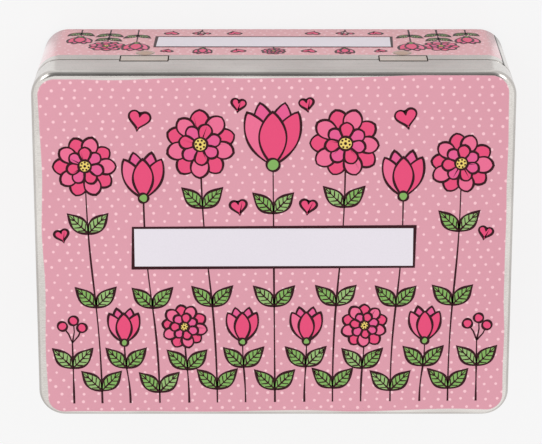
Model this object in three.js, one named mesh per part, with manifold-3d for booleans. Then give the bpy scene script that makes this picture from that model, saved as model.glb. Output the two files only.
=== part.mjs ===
// A hinged-lid tin for papers and keepsakes, in millimetres.
// It stands on its base with the lid on top: +X runs along the long front, +Y points to the hinge side, +Z up.
// The origin is the middle of the underside.
import * as THREE from "three";
import { mergeVertices } from "three/addons/utils/BufferGeometryUtils.js";
import Module from "manifold-3d";

const wasm = await Module();
wasm.setup();

// The whole tin
const tinWidth = 200;
const tinDepth = 152;
const tinHeight = 74;
const cornerRadius = 11;
const sheetThickness = 0.35;

// The lid, a drawn shell with a rounded top edge and a hollow curl round its lower edge
const lidHeight = 20;
const lidEdgeRadius = 3.5;
const curlRadius = 1.6;
const curlEndDegrees = 80;
const lidClearance = 0.3;

// The body wall, a rolled band with a foot, a shoulder below the lid and a neck inside it
const footRadius = 1.2;
const shoulderRadius = 1.5;
const neckFilletRadius = 0.6;
const neckHeight = 7;
const neckCurlRadius = 0.9;
const neckCurlEndDegrees = -70;

// The vertical side seam of the band, in the rear right corner
const sideSeamFoldThickness = 0.5;
const sideSeamStartDegrees = 25;
const sideSeamEndDegrees = 50;
const sideSeamGrooveWidth = 0.4;
const sideSeamGrooveDepth = 0.15;

// The seam that folds the base plate round the rim of the body wall
const foldGap = 0.15;
const baseSeamInset = 1;
const rimWidth = 3.2;
const hookWidth = 2.4;

// The hinges: a leaf with a loop round a pin that the curl of the lid holds
const hingeEndDistance = 46;
const leafWidth = 19.6;
const leafThickness = 0.4;
const leafClearance = 0.2;
const pinClearance = 0.3;
const pinEngagement = 6;
const windowEndGap = 0.5;
const windowHeadroom = 0.8;
const sillDrop = 6.2;
const plateGap = 0.9;
const jogStart = 0.1;
const loopEndDegrees = -120;
const tailCornerRadius = 3;

// The round clinch that holds each leaf to the body wall
const clinchRadius = 3.8;
const clinchHeight = 0.9;
const clinchMargin = 0.6;
const tailMargin = 2.2;

// How finely curves are drawn, and how far a cutting tool runs past what it cuts
const cornerSteps = 8;
const arcStepDegrees = 15;
const tightArcStepDegrees = 30;
const domeSides = 24;
const domeSteps = 4;
const pinSides = 20;
const cutOverrun = 2;
const mergeDistance = 1e-4;

// Places that follow from the sizes
const halfWidth = tinWidth / 2;
const halfDepth = tinDepth / 2;
const seamHeight = tinHeight - lidHeight;
const shoulderHeight = seamHeight - lidClearance;
const neckInset = 2 * curlRadius + lidClearance;
const rimUnderside = sheetThickness + foldGap;
const layerPitch = sheetThickness + foldGap;
const hingeAxisHeight = seamHeight + curlRadius;
const hingeAxisY = halfDepth - curlRadius;
const pinRadius = curlRadius - leafThickness - pinClearance;
const windowWidth = leafWidth + 2 * windowEndGap;
const sillHeight = seamHeight - sillDrop;
const clinchCentreHeight = sillHeight - clinchMargin - clinchRadius;
const tailHeight = clinchCentreHeight - clinchRadius - tailMargin;

// Outlines are drawn in a section plane: x is the distance inside the outer face, y the height.
function sectionPoint(inset, height) {
  return new THREE.Vector2(inset, height);
}

// The points of an arc, from one angle to another, with steps no longer than the one given.
function arcPoints(centreInset, centreHeight, radius, fromDegrees, toDegrees, stepDegrees) {
  const sweep = toDegrees - fromDegrees;
  const steps = Math.ceil(Math.abs(sweep) / stepDegrees);
  const points = [];
  for (let step = 0; step <= steps; step += 1) {
    const angle = THREE.MathUtils.degToRad(fromDegrees + (sweep * step) / steps);
    points.push(
      sectionPoint(centreInset + radius * Math.cos(angle), centreHeight + radius * Math.sin(angle)),
    );
  }
  return points;
}

// The unit vector that points to the right of the way from one point to the next.
function rightOf(from, to) {
  const way = to.clone().sub(from).normalize();
  return new THREE.Vector2(way.y, -way.x);
}

// The other face of a sheet whose one face is given, a thickness to the right of it.
function offsetFace(face, thickness) {
  const last = face.length - 1;
  return face.map((point, index) => {
    const before = rightOf(face[Math.max(index - 1, 0)], face[Math.max(index, 1)]);
    const after = rightOf(face[Math.min(index, last - 1)], face[Math.min(index + 1, last)]);
    const mitre = before.clone().add(after);
    return point.clone().addScaledVector(mitre, thickness / (1 + before.dot(after)));
  });
}

// The points round a rounded rectangle that lies a distance inside the outer face, seen anticlockwise from above.
function ringPoints(inset, height) {
  const radius = cornerRadius - inset;
  const corners = [
    [1, 1],
    [-1, 1],
    [-1, -1],
    [1, -1],
  ];
  const points = [];
  corners.forEach(([signX, signY], corner) => {
    for (let step = 0; step <= cornerSteps; step += 1) {
      const angle = (Math.PI / 2) * (corner + step / cornerSteps);
      const x = signX * (halfWidth - cornerRadius) + radius * Math.cos(angle);
      const y = signY * (halfDepth - cornerRadius) + radius * Math.sin(angle);
      points.push(x, y, height);
    }
  });
  return points;
}

// The solid that a section outline leaves when it runs once round the tin.
// An outline that isn't closed ends in two flat panels: its first ring faces down and its last faces up.
function runRound(outline, isClosed) {
  const ringSize = 4 * (cornerSteps + 1);
  const positions = outline.flatMap((point) => ringPoints(point.x, point.y));
  const indices = [];
  const bandCount = isClosed ? outline.length : outline.length - 1;
  for (let band = 0; band < bandCount; band += 1) {
    const ring = band * ringSize;
    const nextRing = ((band + 1) % outline.length) * ringSize;
    for (let side = 0; side < ringSize; side += 1) {
      const next = (side + 1) % ringSize;
      indices.push(ring + side, ring + next, nextRing + next);
      indices.push(ring + side, nextRing + next, nextRing + side);
    }
  }
  if (!isClosed) {
    const lastRing = (outline.length - 1) * ringSize;
    const lowerCentre = positions.length / 3;
    const upperCentre = lowerCentre + 1;
    positions.push(0, 0, outline[0].y, 0, 0, outline[outline.length - 1].y);
    for (let side = 0; side < ringSize; side += 1) {
      const next = (side + 1) % ringSize;
      indices.push(lowerCentre, next, side);
      indices.push(upperCentre, lastRing + side, lastRing + next);
    }
  }
  const geometry = new THREE.BufferGeometry();
  geometry.setAttribute("position", new THREE.Float32BufferAttribute(positions, 3));
  geometry.setIndex(indices);
  return solidOf(geometry);
}

// Turns a closed geometry into a solid that can be joined and cut.
function solidOf(geometry) {
  const bare = geometry.clone();
  bare.deleteAttribute("normal");
  bare.deleteAttribute("uv");
  const merged = mergeVertices(bare, mergeDistance);
  const triVerts = new Uint32Array(merged.index.array);
  const vertProperties = new Float32Array(merged.attributes.position.array);
  return new wasm.Manifold(new wasm.Mesh({ numProp: 3, vertProperties, triVerts }));
}

// Turns a solid back into a geometry that a mesh can show.
function geometryOf(solid) {
  const mesh = solid.getMesh();
  const geometry = new THREE.BufferGeometry();
  geometry.setAttribute("position", new THREE.BufferAttribute(mesh.vertProperties, mesh.numProp));
  geometry.setIndex(new THREE.BufferAttribute(mesh.triVerts, 1));
  geometry.computeVertexNormals();
  return geometry;
}

// A block between two corners.
function blockSolid(low, high) {
  const size = high.clone().sub(low);
  const centre = low.clone().add(high).multiplyScalar(0.5);
  const geometry = new THREE.BoxGeometry(size.x, size.y, size.z);
  geometry.translate(centre.x, centre.y, centre.z);
  return solidOf(geometry);
}

// A shallow round dome on the hinge side: its rim lies on a plane of constant y, and a root reaches inwards from it.
function domeSolid(x, rimY, rootLength) {
  const sphereRadius = (clinchRadius ** 2 + clinchHeight ** 2) / (2 * clinchHeight);
  const halfAngle = Math.asin(clinchRadius / sphereRadius);
  const profile = [new THREE.Vector2(0, -rootLength), new THREE.Vector2(clinchRadius, -rootLength)];
  for (let step = 0; step <= domeSteps; step += 1) {
    const angle = halfAngle * (1 - step / domeSteps);
    const height = sphereRadius * Math.cos(angle) - sphereRadius + clinchHeight;
    profile.push(new THREE.Vector2(sphereRadius * Math.sin(angle), height));
  }
  const geometry = new THREE.LatheGeometry(profile, domeSides);
  geometry.translate(x, rimY, clinchCentreHeight);
  return solidOf(geometry);
}

// The x places of the two hinges, each a distance from its end of the tin.
const hingePlaces = { left: hingeEndDistance - halfWidth, right: halfWidth - hingeEndDistance };

// The lid: the curl, the skirt, the rounded edge and the flat panel, with a window at each hinge.
function lidSolid() {
  const outerFace = [
    ...arcPoints(curlRadius, hingeAxisHeight, curlRadius, curlEndDegrees, -180, arcStepDegrees),
    ...arcPoints(lidEdgeRadius, tinHeight - lidEdgeRadius, lidEdgeRadius, 180, 90, arcStepDegrees),
  ];
  const innerFace = offsetFace(outerFace, sheetThickness).reverse();
  let solid = runRound([...innerFace, ...outerFace], false);
  for (const x of Object.values(hingePlaces)) {
    const low = new THREE.Vector3(
      x - windowWidth / 2,
      halfDepth - 2 * curlRadius - cutOverrun,
      seamHeight - cutOverrun,
    );
    const high = new THREE.Vector3(
      x + windowWidth / 2,
      halfDepth + cutOverrun,
      hingeAxisHeight + curlRadius + windowHeadroom,
    );
    solid = solid.subtract(blockSolid(low, high));
  }
  return solid;
}

// The body wall: the rim under the base plate's hook, the foot, the wall, the shoulder, the neck and its curl.
function bodyWallSolid() {
  const neckTop = shoulderHeight + neckHeight;
  const outerFace = [
    sectionPoint(baseSeamInset + rimWidth, rimUnderside),
    ...arcPoints(footRadius, rimUnderside + footRadius, footRadius, -90, -180, tightArcStepDegrees),
    ...arcPoints(
      shoulderRadius,
      shoulderHeight - shoulderRadius,
      shoulderRadius,
      180,
      90,
      arcStepDegrees,
    ),
    ...arcPoints(
      neckInset - neckFilletRadius,
      shoulderHeight + neckFilletRadius,
      neckFilletRadius,
      -90,
      0,
      tightArcStepDegrees,
    ),
    ...arcPoints(
      neckInset + neckCurlRadius,
      neckTop - neckCurlRadius,
      neckCurlRadius,
      180,
      neckCurlEndDegrees,
      tightArcStepDegrees,
    ),
  ];
  const innerFace = offsetFace(outerFace, sheetThickness).reverse();
  let solid = runRound([...outerFace, ...innerFace], true);
  solid = solid.add(sideSeamFold()).subtract(sideSeamGroove());
  for (const x of Object.values(hingePlaces)) {
    const low = new THREE.Vector3(
      x - windowWidth / 2,
      halfDepth - leafThickness - lidClearance,
      sillHeight,
    );
    const high = new THREE.Vector3(
      x + windowWidth / 2,
      halfDepth + cutOverrun,
      shoulderHeight + cutOverrun,
    );
    solid = solid.subtract(blockSolid(low, high));
    solid = solid.add(domeSolid(x, halfDepth, sheetThickness / 2));
    solid = solid.subtract(domeSolid(x, halfDepth - sheetThickness, cutOverrun));
  }
  return solid;
}

// The folded layers of the side seam, a strip on the inner face of the rear right corner.
function sideSeamFold() {
  const outerRadius = cornerRadius - sheetThickness / 2;
  const innerRadius = cornerRadius - sheetThickness - sideSeamFoldThickness;
  const start = THREE.MathUtils.degToRad(sideSeamStartDegrees);
  const end = THREE.MathUtils.degToRad(sideSeamEndDegrees);
  const shape = new THREE.Shape();
  shape.absarc(0, 0, outerRadius, start, end, false);
  shape.absarc(0, 0, innerRadius, end, start, true);
  const lowEnd = rimUnderside + footRadius;
  const highEnd = shoulderHeight - shoulderRadius;
  const geometry = new THREE.ExtrudeGeometry(shape, {
    depth: highEnd - lowEnd,
    bevelEnabled: false,
    curveSegments: cornerSteps,
  });
  geometry.translate(halfWidth - cornerRadius, halfDepth - cornerRadius, lowEnd);
  return solidOf(geometry);
}

// The narrow groove that the side seam leaves on the outer face.
function sideSeamGroove() {
  const lowEnd = rimUnderside + footRadius;
  const highEnd = shoulderHeight - shoulderRadius;
  const reach = sideSeamGrooveDepth + cutOverrun;
  const geometry = new THREE.BoxGeometry(reach, sideSeamGrooveWidth, highEnd - lowEnd);
  geometry.translate(cornerRadius - sideSeamGrooveDepth + reach / 2, 0, (lowEnd + highEnd) / 2);
  geometry.rotateZ(THREE.MathUtils.degToRad(sideSeamEndDegrees));
  geometry.translate(halfWidth - cornerRadius, halfDepth - cornerRadius, 0);
  return solidOf(geometry);
}

// The base plate: a recessed panel whose edge folds down and round the rim of the body wall.
function basePlateSolid() {
  const panelUnderside = 3 * layerPitch;
  const upperFoldRadius = foldGap / 2;
  const hookRadius = (3 * sheetThickness + 2 * foldGap) / 2;
  const rimEnd = baseSeamInset + rimWidth;
  const foldCentreInset = rimEnd - hookWidth;
  const hookCentreInset = rimEnd + foldGap;
  const lowerFace = [
    sectionPoint(hookCentreInset + hookRadius + rimWidth, panelUnderside),
    ...arcPoints(
      foldCentreInset,
      panelUnderside - upperFoldRadius,
      upperFoldRadius,
      90,
      270,
      tightArcStepDegrees,
    ),
    ...arcPoints(hookCentreInset, hookRadius, hookRadius, 90, -90, tightArcStepDegrees),
    sectionPoint(baseSeamInset, 0),
  ];
  const upperFace = offsetFace(lowerFace, sheetThickness).reverse();
  return runRound([...lowerFace, ...upperFace], false);
}

// A hinge leaf: the tail inside the wall, the plate outside it and the loop round the pin, about x = 0.
function hingeLeafSolid() {
  const tailInset = sheetThickness + leafClearance;
  const outerFace = [
    sectionPoint(tailInset, tailHeight),
    sectionPoint(tailInset, sillHeight + jogStart),
    sectionPoint(0, sillHeight + plateGap),
    ...arcPoints(curlRadius, hingeAxisHeight, curlRadius, 180, loopEndDegrees, arcStepDegrees),
  ];
  const outline = [...outerFace, ...offsetFace(outerFace, leafThickness).reverse()];
  const shape = new THREE.Shape(
    outline.map((point) => new THREE.Vector2(halfDepth - point.x, point.y)),
  );
  const geometry = new THREE.ExtrudeGeometry(shape, { depth: leafWidth, bevelEnabled: false });
  geometry.translate(0, 0, -leafWidth / 2);
  const axisX = new THREE.Vector3(1, 0, 0);
  const axisY = new THREE.Vector3(0, 1, 0);
  const axisZ = new THREE.Vector3(0, 0, 1);
  geometry.applyMatrix4(new THREE.Matrix4().makeBasis(axisY, axisZ, axisX));
  const tailY = halfDepth - tailInset;
  return solidOf(geometry)
    .add(domeSolid(0, tailY, leafThickness / 2))
    .subtract(domeSolid(0, tailY - leafThickness, cutOverrun))
    .intersect(leafBlankSolid());
}

// The outline of a leaf seen from behind, with the lower corners of its tail rounded.
function leafBlankSolid() {
  const half = leafWidth / 2;
  const top = hingeAxisHeight + curlRadius + cutOverrun;
  const cornerX = half - tailCornerRadius;
  const cornerZ = tailHeight + tailCornerRadius;
  const shape = new THREE.Shape();
  shape.moveTo(half, top);
  shape.lineTo(-half, top);
  shape.absarc(-cornerX, cornerZ, tailCornerRadius, Math.PI, 1.5 * Math.PI, false);
  shape.absarc(cornerX, cornerZ, tailCornerRadius, 1.5 * Math.PI, 2 * Math.PI, false);
  const reach = 2 * (curlRadius + cutOverrun);
  const geometry = new THREE.ExtrudeGeometry(shape, {
    depth: 2 * reach,
    bevelEnabled: false,
    curveSegments: cornerSteps,
  });
  geometry.rotateX(Math.PI / 2);
  geometry.translate(0, halfDepth + reach, 0);
  return solidOf(geometry);
}

// A hinge pin, a short wire along x that the curl of the lid holds at both ends.
function hingePinGeometry() {
  const length = windowWidth + 2 * pinEngagement;
  const geometry = new THREE.CylinderGeometry(pinRadius, pinRadius, length, pinSides);
  geometry.rotateZ(Math.PI / 2);
  return geometry;
}

// The scene graph: the body with its base and leaves, and the lid with its pins on a pivot at the hinge axis.
function addPiece(parent, name, geometry, look, place) {
  const piece = new THREE.Mesh(geometry, new THREE.MeshStandardMaterial(look));
  piece.name = name;
  piece.position.copy(place);
  parent.add(piece);
}

const printedTin = { color: 0xdfa0af, roughness: 0.35, metalness: 0.2 };
const bareTinplate = { color: 0xcfcac4, roughness: 0.35, metalness: 0.9 };
const wirePin = { color: 0xb7b3ac, roughness: 0.4, metalness: 1 };

const tin = new THREE.Group();
const lidPivot = new THREE.Group();
lidPivot.position.set(0, hingeAxisY, hingeAxisHeight);
tin.add(lidPivot);

const origin = new THREE.Vector3(0, 0, 0);
addPiece(tin, "body_wall", geometryOf(bodyWallSolid()), printedTin, origin);
addPiece(tin, "base_plate", geometryOf(basePlateSolid()), bareTinplate, origin);
addPiece(lidPivot, "lid", geometryOf(lidSolid()), printedTin, lidPivot.position.clone().negate());
for (const [side, x] of Object.entries(hingePlaces)) {
  const place = new THREE.Vector3(x, 0, 0);
  addPiece(tin, `hinge_leaf_${side}`, geometryOf(hingeLeafSolid()), bareTinplate, place);
  addPiece(lidPivot, `hinge_pin_${side}`, hingePinGeometry(), wirePin, place);
}

export default tin;
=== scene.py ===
import math
import random

import bmesh
import bpy
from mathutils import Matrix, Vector


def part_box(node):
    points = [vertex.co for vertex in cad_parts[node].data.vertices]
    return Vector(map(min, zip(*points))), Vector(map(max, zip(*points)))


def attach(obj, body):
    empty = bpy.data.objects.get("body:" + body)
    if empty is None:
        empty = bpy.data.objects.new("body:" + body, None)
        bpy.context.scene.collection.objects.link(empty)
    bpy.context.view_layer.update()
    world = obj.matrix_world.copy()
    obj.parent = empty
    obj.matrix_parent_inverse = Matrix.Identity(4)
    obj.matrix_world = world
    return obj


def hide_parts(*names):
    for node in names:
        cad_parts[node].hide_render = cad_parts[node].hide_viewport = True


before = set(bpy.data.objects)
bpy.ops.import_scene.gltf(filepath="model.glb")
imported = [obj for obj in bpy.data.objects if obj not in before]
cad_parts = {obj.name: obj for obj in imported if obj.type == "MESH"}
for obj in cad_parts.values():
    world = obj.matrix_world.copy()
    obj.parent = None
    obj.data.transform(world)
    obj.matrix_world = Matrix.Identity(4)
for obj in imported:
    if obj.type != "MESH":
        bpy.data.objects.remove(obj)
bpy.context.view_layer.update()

# Sizes are in metres and angles in degrees, unless a name says shares.
# The overall sizes of the tin come from the frame.
lid_low, lid_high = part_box("lid")
half_width = lid_high.x
half_depth = lid_high.y
lid_top = lid_high.z
seam_height = lid_low.z
neck_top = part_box("body_wall")[1].z
hinge_places = {
    side: sum(corner.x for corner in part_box(f"hinge_leaf_{side}")) / 2
    for side in ("left", "right")
}
leaf_low, leaf_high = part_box("hinge_leaf_left")
pin_low, pin_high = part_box("hinge_pin_left")

# Sheet metal
sheet_thickness = 0.00035
corner_radius = 0.011
lid_edge_radius = 0.0035
curl_radius = 0.0016
curl_end_angle = 80
lid_clearance = 0.0003
foot_radius = 0.0012
shoulder_radius = 0.0015
neck_fillet_radius = 0.0006
neck_curl_radius = 0.0009
neck_curl_end_angle = -70

# Base plate
seam_layers = 3
fold_gap = 0.00015
base_seam_inset = 0.001
rim_width = 0.0032
hook_width = 0.0024
bead_inset = 0.0064
bead_radius = 0.0012
bead_angle = 38

# Side seam in the rear right corner
seam_fold_thickness = 0.0005
seam_start_angle = 25
seam_end_angle = 50
seam_groove_width = 0.0004
seam_groove_depth = 0.00015

# Hinges
leaf_width = leaf_high.x - leaf_low.x
leaf_thickness = 0.0004
leaf_clearance = 0.0002
leaf_edge_radius = 0.00008
leaf_corner_radius = 0.003
window_end_gap = 0.0005
window_headroom = 0.0008
window_corner_radius = 0.0005
sill_drop = 0.0062
plate_gap = 0.0009
jog_start = 0.0001
loop_end_angle = -120
pin_chamfer = 0.0002

# The round clinch that holds each leaf to the wall
clinch_radius = 0.0038
clinch_height = 0.0009
clinch_fillet_radius = 0.002
clinch_margin = 0.0006

# How finely round forms are drawn
corner_steps = 14
arc_step_angle = 7
arc_step_length = 0.00005
window_corner_steps = 5
leaf_corner_steps = 8
leaf_edge_steps = 2
clinch_steps = 48
pin_sides = 40
pin_chamfer_steps = 3
merge_distance = 1e-6
cut_overrun = 0.002
smooth_angle = 32

# Places that follow from the sizes
shoulder_height = seam_height - lid_clearance
neck_inset = 2 * curl_radius + lid_clearance
rim_underside = sheet_thickness + fold_gap
hinge_axis_height = seam_height + curl_radius
hinge_axis_y = half_depth - curl_radius
window_width = leaf_width + 2 * window_end_gap
sill_height = seam_height - sill_drop
clinch_height_above_floor = sill_height - clinch_margin - clinch_radius
straight_x = half_width - corner_radius
straight_y = half_depth - corner_radius
seam_low = rim_underside + foot_radius
seam_high = shoulder_height - shoulder_radius


def unit_vector(angle):
    """The two parts of a unit vector at an angle in degrees."""
    return math.cos(math.radians(angle)), math.sin(math.radians(angle))


def start_from(primitive, **settings):
    """Adds a primitive with nothing else selected, and gives it."""
    bpy.ops.object.select_all(action="DESELECT")
    primitive(**settings)
    return bpy.context.object


def select_only(piece):
    """Selects a piece by itself, for the operators that work on the selected one."""
    bpy.ops.object.select_all(action="DESELECT")
    bpy.context.view_layer.objects.active = piece
    piece.select_set(True)


def linear(red, green, blue):
    """A colour that is named by its 0 to 255 screen values, as the shader wants it."""
    def channel(value):
        share = value / 255
        return share / 12.92 if share <= 0.04045 else ((share + 0.055) / 1.055) ** 2.4
    return (channel(red), channel(green), channel(blue), 1.0)


def start_vertex(place):
    """Draws a small plane together to one vertex, and stays in edit mode."""
    piece = start_from(bpy.ops.mesh.primitive_plane_add, size=sheet_thickness, location=place)
    add_slots(piece)
    bpy.ops.object.transform_apply(location=True)
    bpy.ops.object.mode_set(mode="EDIT")
    bpy.ops.mesh.merge(type="CENTER")
    return piece


# Sections of sheet are drawn in the plane that cuts the front wall: an inset is a distance inside the
# outline of the tin and a height is above the floor.
def draw_section(name, start, steps, x):
    """Draws a section from a start point by lines to a point and arcs about a centre through an angle."""
    piece = start_vertex((x, start[0] - half_depth, start[1]))
    piece.name = name
    here = start
    for kind, place, *angle in steps:
        if kind == "line":
            way = (0, place[0] - here[0], place[1] - here[1])
            bpy.ops.mesh.extrude_vertices_move(TRANSFORM_OT_translate={"value": way})
            here = place
        else:
            across, up = here[0] - place[0], here[1] - place[1]
            turn_vertex(x, place, math.hypot(across, up), angle[0])
            cosine, sine = unit_vector(angle[0])
            here = (place[0] + across * cosine - up * sine, place[1] + across * sine + up * cosine)
    return piece


def turn_vertex(x, centre, radius, angle):
    """Spins the selected vertex into an arc. A positive angle turns from the inside of the tin upwards."""
    step_angle = max(arc_step_angle, math.degrees(arc_step_length / radius))
    bpy.ops.mesh.spin(
        steps=math.ceil(abs(angle) / step_angle),
        angle=-math.radians(angle),
        center=(x, centre[0] - half_depth, centre[1]),
        axis=(1, 0, 0),
    )


def sweep_round():
    """Carries the drawn section once round the tin: along each straight, then about each corner."""
    bpy.ops.mesh.select_all(action="SELECT")
    ways = [(1, 0), (0, 1), (-1, 0), (0, -1)]
    corners = [(1, -1), (1, 1), (-1, 1), (-1, -1)]
    for (way_x, way_y), (corner_x, corner_y) in zip(ways, corners):
        straight = (2 * straight_x * way_x, 2 * straight_y * way_y, 0)
        bpy.ops.mesh.extrude_region_move(TRANSFORM_OT_translate={"value": straight})
        bpy.ops.mesh.spin(
            steps=corner_steps,
            angle=-math.pi / 2,
            center=(straight_x * corner_x, straight_y * corner_y, 0),
            axis=(0, 0, 1),
        )
    bpy.ops.mesh.select_all(action="SELECT")
    bpy.ops.mesh.remove_doubles(threshold=merge_distance)


def select_where(piece, kind, test):
    """Selects those edges or vertices of the edited piece that pass a test."""
    bpy.ops.mesh.select_all(action="DESELECT")
    mesh = bmesh.from_edit_mesh(piece.data)
    for part in getattr(mesh, kind):
        part.select_set(test(part))
    bmesh.update_edit_mesh(piece.data)


def fill_panel(piece, height, border):
    """Closes the ring of open edges at a height with a flat panel that has a narrow border of its own."""
    def on_ring(edge):
        return edge.is_boundary and all(abs(end.co.z - height) < merge_distance for end in edge.verts)
    select_where(piece, "edges", on_ring)
    bpy.ops.mesh.edge_face_add()
    bpy.ops.mesh.inset(thickness=border)


def face_outwards(piece, probe):
    """Turns all faces outwards: the face that lies furthest along the probe has to point along it."""
    bpy.ops.mesh.select_all(action="SELECT")
    bpy.ops.mesh.normals_make_consistent(inside=False)
    mesh = bmesh.from_edit_mesh(piece.data)
    mesh.normal_update()
    outermost = max(mesh.faces, key=lambda face: face.calc_center_median().dot(probe))
    if outermost.normal.dot(probe) < 0:
        bpy.ops.mesh.flip_normals()
    bpy.ops.object.mode_set(mode="OBJECT")


def apply_modifier(piece, kind, **settings):
    """Adds a modifier with its settings and applies it."""
    select_only(piece)
    modifier = piece.modifiers.new(kind, kind)
    for name, value in settings.items():
        setattr(modifier, name, value)
    bpy.ops.object.modifier_apply(modifier=modifier.name)


def give_thickness(piece, thickness):
    """Makes the drawn face a sheet. Its inner face and its rims take the second material slot."""
    apply_modifier(
        piece, "SOLIDIFY", thickness=thickness, offset=-1, use_even_offset=True,
        use_quality_normals=True, material_offset=1, material_offset_rim=1,
    )


def soften_edges(piece, width, steps):
    """Rounds the sharp edges of a piece."""
    apply_modifier(piece, "BEVEL", width=width, segments=steps, limit_method="ANGLE")


def combine(piece, tool, operation):
    """Joins or cuts the piece with a tool, which is used up."""
    apply_modifier(
        piece, "BOOLEAN", object=tool, operation=operation, solver="EXACT", material_mode="INDEX",
    )
    bpy.data.objects.remove(tool)


def finish_piece(piece, body, node, materials):
    """Smooths the shading, fills the two material slots, hangs the piece on its body and hides the part of
    the frame that it stands in for.
    """
    select_only(piece)
    bpy.ops.object.shade_smooth_by_angle(angle=math.radians(smooth_angle))
    apply_modifier(piece, "WEIGHTED_NORMAL", keep_sharp=True)
    for number, material in enumerate(materials):
        piece.data.materials[number] = material
    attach(piece, body)
    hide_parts(node)


def window_tool(x, low_y, low_z, high_z):
    """A block as wide as a hinge window, with its edges along y rounded, for cutting from behind."""
    low = Vector((x - window_width / 2, low_y, low_z))
    high = Vector((x + window_width / 2, half_depth + cut_overrun, high_z))
    cube = bpy.ops.mesh.primitive_cube_add
    tool = start_from(cube, size=1, location=(low + high) / 2, scale=high - low)
    bpy.ops.object.transform_apply(location=True, scale=True)
    bpy.ops.object.mode_set(mode="EDIT")

    def along_y(edge):
        way = edge.verts[0].co - edge.verts[1].co
        return abs(way.y) > abs(way.x) + abs(way.z)
    select_where(tool, "edges", along_y)
    bpy.ops.mesh.bevel(offset=window_corner_radius, segments=window_corner_steps)
    bpy.ops.object.mode_set(mode="OBJECT")
    add_slots(tool)
    use_second_slot(tool)
    return tool


def add_slots(piece):
    """Gives a piece or tool two material slots: the first for the outer face, the second for the rest."""
    for _ in range(2):
        piece.data.materials.append(None)


def use_second_slot(tool):
    """Gives all faces of a tool the second material slot, so that what it cuts shows bare metal."""
    for face in tool.data.polygons:
        face.material_index = 1


# The pieces of sheet metal
def make_lid(materials):
    """The lid: the curl, the skirt, the rounded edge and the panel, with a window at each hinge."""
    across, up = unit_vector(curl_end_angle)
    start = (curl_radius + curl_radius * across, hinge_axis_height + curl_radius * up)
    edge_height = lid_top - lid_edge_radius
    steps = [
        ("arc", (curl_radius, hinge_axis_height), -180 - curl_end_angle),
        ("line", (0, edge_height)),
        ("arc", (lid_edge_radius, edge_height), -90),
    ]
    lid = draw_section("lid_shell", start, steps, -straight_x)
    sweep_round()
    fill_panel(lid, lid_top, curl_radius)
    face_outwards(lid, Vector((0, 0, 1)))
    give_thickness(lid, sheet_thickness)
    behind_curl = half_depth - 2 * curl_radius - cut_overrun
    window_top = hinge_axis_height + curl_radius + window_headroom
    for x in hinge_places.values():
        window = window_tool(x, behind_curl, seam_height - cut_overrun, window_top)
        combine(lid, window, "DIFFERENCE")
    finish_piece(lid, "lid", "lid", materials)


def make_wall(materials):
    """The body wall: rim, foot, wall, shoulder, neck and its curl, with side seam, windows and clinches."""
    start = (base_seam_inset + rim_width, rim_underside)
    steps = [
        ("line", (foot_radius, rim_underside)),
        ("arc", (foot_radius, rim_underside + foot_radius), -90),
        ("line", (0, shoulder_height - shoulder_radius)),
        ("arc", (shoulder_radius, shoulder_height - shoulder_radius), -90),
        ("line", (neck_inset - neck_fillet_radius, shoulder_height)),
        ("arc", (neck_inset - neck_fillet_radius, shoulder_height + neck_fillet_radius), 90),
        ("line", (neck_inset, neck_top - neck_curl_radius)),
        ("arc", (neck_inset + neck_curl_radius, neck_top - neck_curl_radius), neck_curl_end_angle - 180),
    ]
    wall = draw_section("wall_shell", start, steps, -straight_x)
    sweep_round()
    face_outwards(wall, Vector((1, 0, 0)))
    give_thickness(wall, sheet_thickness)
    combine(wall, seam_fold_tool(), "UNION")
    combine(wall, seam_groove_tool(), "DIFFERENCE")
    behind_leaf = half_depth - leaf_thickness - lid_clearance
    for x in hinge_places.values():
        window = window_tool(x, behind_leaf, sill_height, shoulder_height + cut_overrun)
        combine(wall, window, "DIFFERENCE")
        press_clinch(wall, x, half_depth, sheet_thickness)
    unroll_round(wall)
    finish_piece(wall, "body", "body_wall", materials)


def seam_fold_tool():
    """The folded layers of the side seam: a small plate that is spun about the corner on the inner face."""
    thickness = seam_fold_thickness + sheet_thickness / 2
    middle = corner_radius - sheet_thickness / 2 - thickness / 2
    fold = start_from(bpy.ops.mesh.primitive_plane_add, size=1, rotation=(math.pi / 2, 0, 0))
    fold.scale = (thickness, seam_high - seam_low, 1)
    fold.location = (middle, 0, (seam_low + seam_high) / 2)
    bpy.ops.object.transform_apply(location=True, rotation=True, scale=True)
    bpy.ops.object.mode_set(mode="EDIT")
    bpy.ops.mesh.select_all(action="SELECT")
    angle = math.radians(seam_start_angle - seam_end_angle)
    bpy.ops.mesh.spin(steps=corner_steps // 2, angle=angle, center=(0, 0, 0), axis=(0, 0, 1))
    bpy.ops.mesh.select_all(action="SELECT")
    bpy.ops.mesh.normals_make_consistent(inside=False)
    bpy.ops.object.mode_set(mode="OBJECT")
    set_in_corner(fold, seam_start_angle)
    return fold


def seam_groove_tool():
    """The narrow groove that the side seam leaves on the outer face."""
    reach = seam_groove_depth + cut_overrun
    centre = (corner_radius - seam_groove_depth + reach / 2, 0, (seam_low + seam_high) / 2)
    size = (reach, seam_groove_width, seam_high - seam_low)
    groove = start_from(bpy.ops.mesh.primitive_cube_add, size=1, location=centre, scale=size)
    bpy.ops.object.transform_apply(location=True, scale=True)
    set_in_corner(groove, seam_end_angle)
    return groove


def set_in_corner(tool, angle):
    """Turns a tool that stands at angle zero and sets it in the rear right corner."""
    tool.rotation_euler.z = math.radians(angle)
    tool.location = (straight_x, straight_y, 0)
    bpy.ops.object.transform_apply(location=True, rotation=True)
    add_slots(tool)
    use_second_slot(tool)


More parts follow.
